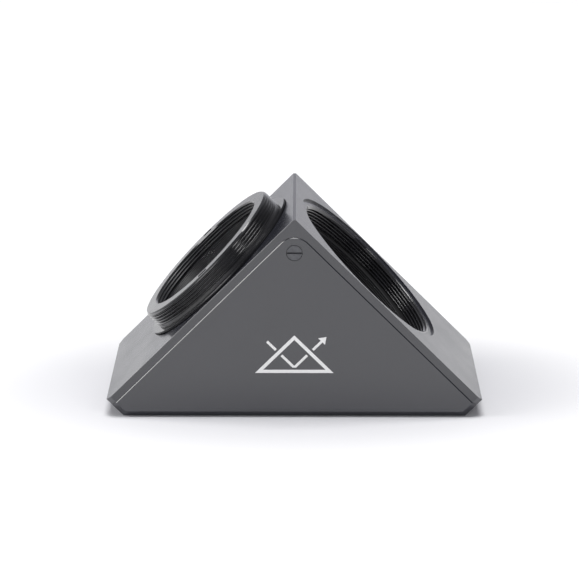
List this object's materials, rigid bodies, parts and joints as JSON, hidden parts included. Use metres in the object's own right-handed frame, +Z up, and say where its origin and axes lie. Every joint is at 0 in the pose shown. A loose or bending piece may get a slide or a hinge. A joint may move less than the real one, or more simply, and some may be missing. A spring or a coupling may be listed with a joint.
{
  "type": "star diagonal",
  "caption": "Right-angle prism star diagonal: triangular anodised block with a female thread port on one slope and a removable male thread ring on the other.",
  "frame": {"origin": "centre of the footprint, on the underside of the base", "axes": "+Z up from the base to the ridge; +X towards the open female port; -Y is the front with the emblem; both port axes lie in the XZ plane at 45 degrees"},
  "size_m": [0.0906, 0.048, 0.0492],
  "materials": {
    "anodised_body": "satin dark grey anodised aluminium with fine milling marks",
    "anodised_thread": "semi-gloss black anodised aluminium, turned and threaded",
    "black_steel": "blackened steel, satin",
    "black_polymer": "matt black sheet",
    "prism_glass": "polished optical glass with ground sides",
    "cork": "matt fine-grained cork"
  },
  "bodies": {
    "block": {"housing": "anodised_body", "base_cradle": "anodised_body", "front_apex_screw": "black_steel", "rear_apex_screw": "black_steel", "prism": "prism_glass", "left_aperture_mask": "black_polymer", "right_aperture_mask": "black_polymer", "front_side_pad": "cork", "rear_side_pad": "cork", "left_edge_pad": "cork", "right_edge_pad": "cork", "pressure_plate": "anodised_thread", "set_screw_front_left": "black_steel", "set_screw_front_right": "black_steel", "set_screw_rear_left": "black_steel", "set_screw_rear_right": "black_steel"},
    "ring_washer": {"flange_washer": "black_polymer"},
    "ring": {"adapter_ring": "anodised_thread"}
  },
  "joints": [
    {"name": "ring_travel", "type": "slide", "parent": "block", "child": "ring_washer", "axis": [-0.7071, 0, 0.7071], "range_m": [0, 0.0033]},
    {"name": "ring_turn", "type": "hinge", "parent": "ring_washer", "child": "ring", "pos_m": [-0.01831, 0, 0.03099], "axis": [-0.7071, 0, 0.7071], "range_deg": [0, 1584]}
  ],
  "couplings": [
    {"joint": "ring_travel", "follows": "ring_turn", "m_per_rad": 0.00011937}
  ]
}
